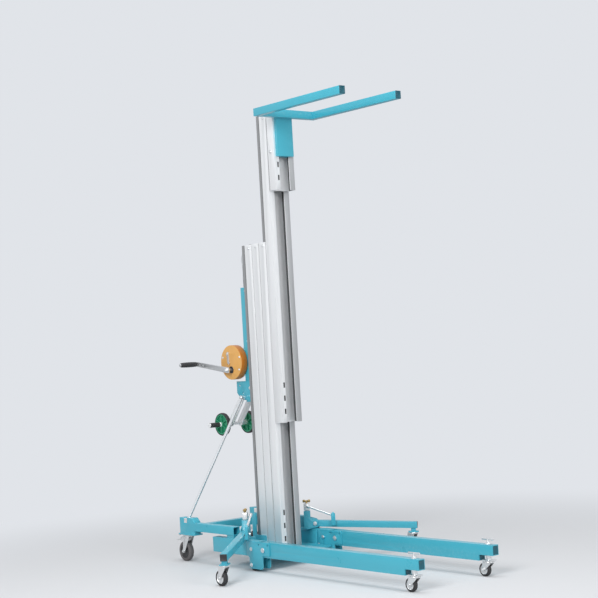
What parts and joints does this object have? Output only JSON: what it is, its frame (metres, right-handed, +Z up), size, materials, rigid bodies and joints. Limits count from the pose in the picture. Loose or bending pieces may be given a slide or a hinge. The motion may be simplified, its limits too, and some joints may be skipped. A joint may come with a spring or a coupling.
{
  "type": "material hoist",
  "caption": "Hand-winch material hoist: telescoping aluminium mast on a folding steel base with casters, stabilizer arms, front legs and a fork carriage raised by wire rope.",
  "frame": {"origin": "on the floor under the centre of the overall footprint", "axes": "+X to the front, where the legs and forks point; +Y to the left side; +Z up"},
  "size_m": [2.223, 1.5408, 2.739],
  "materials": {
    "turquoise_paint": "gloss powder coat",
    "mast_aluminium": "satin anodised extrusion",
    "zinc_steel": "bright zinc plate",
    "chrome_rod": "polished",
    "black_rubber": "matt",
    "grey_rubber": "matt",
    "black_plastic": "satin moulded grip",
    "orange_paint": "gloss enamel",
    "green_wheel": "moulded wheel",
    "brass": "yellow passivated",
    "wire_rope": "stranded wire"
  },
  "bodies": {
    "base": {"base_tube_left": "turquoise_paint", "base_tube_right": "turquoise_paint", "rear_beam_left": "turquoise_paint", "rear_beam_right": "turquoise_paint", "rear_cross_beam": "turquoise_paint", "mast_tray": "turquoise_paint", "hinge_bracket_left": "turquoise_paint", "hinge_bracket_right": "turquoise_paint", "upright_left": "turquoise_paint", "upright_right": "turquoise_paint", "column_1": "mast_aluminium", "winch_post": "turquoise_paint", "winch_frame": "zinc_steel", "winch_cover": "orange_paint", "brace_left": "chrome_rod", "brace_right": "chrome_rod", "transport_frame": "mast_aluminium", "rope": "wire_rope", "sheave_bracket": "zinc_steel"},
    "leg_left": {"leg_left": "turquoise_paint", "leg_screw_left": "zinc_steel"},
    "front_caster_left": {"front_fork_left": "zinc_steel"},
    "front_wheel_left": {"front_wheel_left": "black_rubber"},
    "roller_left": {"roller_left": "black_rubber"},
    "stabilizer_left": {"stabilizer_left": "turquoise_paint", "strut_left": "chrome_rod"},
    "stab_caster_left": {"stab_fork_left": "zinc_steel"},
    "stab_wheel_left": {"stab_wheel_left": "black_rubber"},
    "latch_left": {"latch_left": "brass"},
    "rear_caster_left": {"rear_fork_left": "zinc_steel"},
    "rear_wheel_left": {"rear_wheel_left": "grey_rubber"},
    "brake_left": {"brake_left": "zinc_steel"},
    "transport_wheel_left": {"transport_wheel_left": "green_wheel"},
    "leg_right": {"leg_right": "turquoise_paint", "leg_screw_right": "zinc_steel"},
    "front_caster_right": {"front_fork_right": "zinc_steel"},
    "front_wheel_right": {"front_wheel_right": "black_rubber"},
    "roller_right": {"roller_right": "black_rubber"},
    "stabilizer_right": {"stabilizer_right": "turquoise_paint", "strut_right": "chrome_rod"},
    "stab_caster_right": {"stab_fork_right": "zinc_steel"},
    "stab_wheel_right": {"stab_wheel_right": "black_rubber"},
    "latch_right": {"latch_right": "brass"},
    "rear_caster_right": {"rear_fork_right": "zinc_steel"},
    "rear_wheel_right": {"rear_wheel_right": "grey_rubber"},
    "brake_right": {"brake_right": "zinc_steel"},
    "transport_wheel_right": {"transport_wheel_right": "green_wheel"},
    "mast_2": {"column_2": "mast_aluminium"},
    "mast_3": {"column_3": "mast_aluminium"},
    "mast_4": {"column_4": "mast_aluminium"},
    "carriage": {"carriage": "mast_aluminium", "fork_frame": "turquoise_paint", "fork_left": "turquoise_paint", "fork_right": "turquoise_paint"},
    "drum": {"winch_drum": "zinc_steel", "drum_rope": "wire_rope"},
    "crank": {"winch_crank": "zinc_steel"},
    "crank_grip": {"crank_grip": "black_plastic"},
    "pawl": {"winch_pawl": "zinc_steel"},
    "top_sheave": {"top_sheave": "zinc_steel"}
  },
  "joints": [
    {"name": "leg_fold_left", "type": "hinge", "parent": "base", "child": "leg_left", "pos_m": [-0.1875, 0.279, 0.131], "axis": [0, -1, 0], "range_deg": [0, 90]},
    {"name": "roller_spin_left", "type": "hinge", "parent": "base", "child": "roller_left", "pos_m": [-0.3025, 0.279, 0.037], "axis": [0, 1, 0], "continuous": true},
    {"name": "front_swivel_left", "type": "hinge", "parent": "leg_left", "child": "front_caster_left", "pos_m": [1.06, 0.279, 0.082], "axis": [0, 0, 1], "continuous": true},
    {"name": "front_wheel_spin_left", "type": "hinge", "parent": "front_caster_left", "child": "front_wheel_left", "pos_m": [1.028, 0.279, 0.0375], "axis": [0, 1, 0], "continuous": true},
    {"name": "stabilizer_fold_left", "type": "hinge", "parent": "base", "child": "stabilizer_left", "pos_m": [-0.40838, 0.27667, 0.206], "axis": [0.7431, -0.6691, 0], "range_deg": [0, 70]},
    {"name": "stab_swivel_left", "type": "hinge", "parent": "stabilizer_left", "child": "stab_caster_left", "pos_m": [-0.00088, 0.72925, 0.116], "axis": [0, 0, 1], "continuous": true},
    {"name": "stab_wheel_spin_left", "type": "hinge", "parent": "stab_caster_left", "child": "stab_wheel_left", "pos_m": [-0.03488, 0.72925, 0.045], "axis": [0, 1, 0], "continuous": true},
    {"name": "latch_turn_left", "type": "hinge", "parent": "base", "child": "latch_left", "pos_m": [-0.4405, 0.241, 0.283], "axis": [0, 0, 1], "range_deg": [-90, 90]},
    {"name": "rear_swivel_left", "type": "hinge", "parent": "base", "child": "rear_caster_left", "pos_m": [-0.9895, 0.279, 0.164], "axis": [0, 0, 1], "continuous": true},
    {"name": "rear_wheel_spin_left", "type": "hinge", "parent": "rear_caster_left", "child": "rear_wheel_left", "pos_m": [-1.0295, 0.279, 0.0625], "axis": [0, 1, 0], "continuous": true},
    {"name": "brake_press_left", "type": "hinge", "parent": "rear_caster_left", "child": "brake_left", "pos_m": [-1.0495, 0.279, 0.138], "axis": [0, -1, 0], "range_deg": [0, 10]},
    {"name": "transport_wheel_spin_left", "type": "hinge", "parent": "base", "child": "transport_wheel_left", "pos_m": [-0.8095, 0.101, 0.85], "axis": [0, 1, 0], "continuous": true},
    {"name": "leg_fold_right", "type": "hinge", "parent": "base", "child": "leg_right", "pos_m": [-0.1875, -0.279, 0.131], "axis": [0, -1, 0], "range_deg": [0, 90]},
    {"name": "roller_spin_right", "type": "hinge", "parent": "base", "child": "roller_right", "pos_m": [-0.3025, -0.279, 0.037], "axis": [0, 1, 0], "continuous": true},
    {"name": "front_swivel_right", "type": "hinge", "parent": "leg_right", "child": "front_caster_right", "pos_m": [1.06, -0.279, 0.082], "axis": [0, 0, 1], "continuous": true},
    {"name": "front_wheel_spin_right", "type": "hinge", "parent": "front_caster_right", "child": "front_wheel_right", "pos_m": [1.028, -0.279, 0.0375], "axis": [0, 1, 0], "continuous": true},
    {"name": "stabilizer_fold_right", "type": "hinge", "parent": "base", "child": "stabilizer_right", "pos_m": [-0.40838, -0.27667, 0.206], "axis": [-0.7431, -0.6691, 0], "range_deg": [0, 70]},
    {"name": "stab_swivel_right", "type": "hinge", "parent": "stabilizer_right", "child": "stab_caster_right", "pos_m": [-0.00088, -0.72925, 0.116], "axis": [0, 0, 1], "continuous": true},
    {"name": "stab_wheel_spin_right", "type": "hinge", "parent": "stab_caster_right", "child": "stab_wheel_right", "pos_m": [-0.03488, -0.72925, 0.045], "axis": [0, 1, 0], "continuous": true},
    {"name": "latch_turn_right", "type": "hinge", "parent": "base", "child": "latch_right", "pos_m": [-0.4405, -0.241, 0.283], "axis": [0, 0, 1], "range_deg": [-90, 90]},
    {"name": "rear_swivel_right", "type": "hinge", "parent": "base", "child": "rear_caster_right", "pos_m": [-0.9895, -0.279, 0.164], "axis": [0, 0, 1], "continuous": true},
    {"name": "rear_wheel_spin_right", "type": "hinge", "parent": "rear_caster_right", "child": "rear_wheel_right", "pos_m": [-1.0295, -0.279, 0.0625], "axis": [0, 1, 0], "continuous": true},
    {"name": "brake_press_right", "type": "hinge", "parent": "rear_caster_right", "child": "brake_right", "pos_m": [-1.0495, -0.279, 0.138], "axis": [0, -1, 0], "range_deg": [0, 10]},
    {"name": "transport_wheel_spin_right", "type": "hinge", "parent": "base", "child": "transport_wheel_right", "pos_m": [-0.8095, -0.101, 0.85], "axis": [0, 1, 0], "continuous": true},
    {"name": "column_2_lift", "type": "slide", "parent": "base", "child": "mast_2", "axis": [0, 0, 1], "range_m": [0, 1.35]},
    {"name": "column_3_lift", "type": "slide", "parent": "mast_2", "child": "mast_3", "axis": [0, 0, 1], "range_m": [0, 1.35]},
    {"name": "column_4_lift", "type": "slide", "parent": "mast_3", "child": "mast_4", "axis": [0, 0, 1], "range_m": [-0.77, 0.6]},
    {"name": "carriage_lift", "type": "slide", "parent": "mast_4", "child": "carriage", "axis": [0, 0, 1], "range_m": [-1.4, 0]},
    {"name": "drum_spin", "type": "hinge", "parent": "base", "child": "drum", "pos_m": [-0.6975, 0, 1.237], "axis": [0, 1, 0], "continuous": true},
    {"name": "crank_turn", "type": "hinge", "parent": "base", "child": "crank", "pos_m": [-0.6975, -0.1, 1.191], "axis": [0, 1, 0], "continuous": true},
    {"name": "grip_spin", "type": "hinge", "parent": "crank", "child": "crank_grip", "pos_m": [-1.01934, -0.19, 1.23623], "axis": [0, 1, 0], "continuous": true},
    {"name": "pawl_swing", "type": "hinge", "parent": "base", "child": "pawl", "pos_m": [-0.7235, -0.095, 1.289], "axis": [0, 1, 0], "range_deg": [-20, 15]},
    {"name": "sheave_spin", "type": "hinge", "parent": "base", "child": "top_sheave", "pos_m": [-0.58818, 0, 1.87607], "axis": [0, 1, 0], "continuous": true}
  ],
  "couplings": [
    {"joint": "crank_turn", "follows": "drum_spin", "ratio": 4.125}
  ]
}
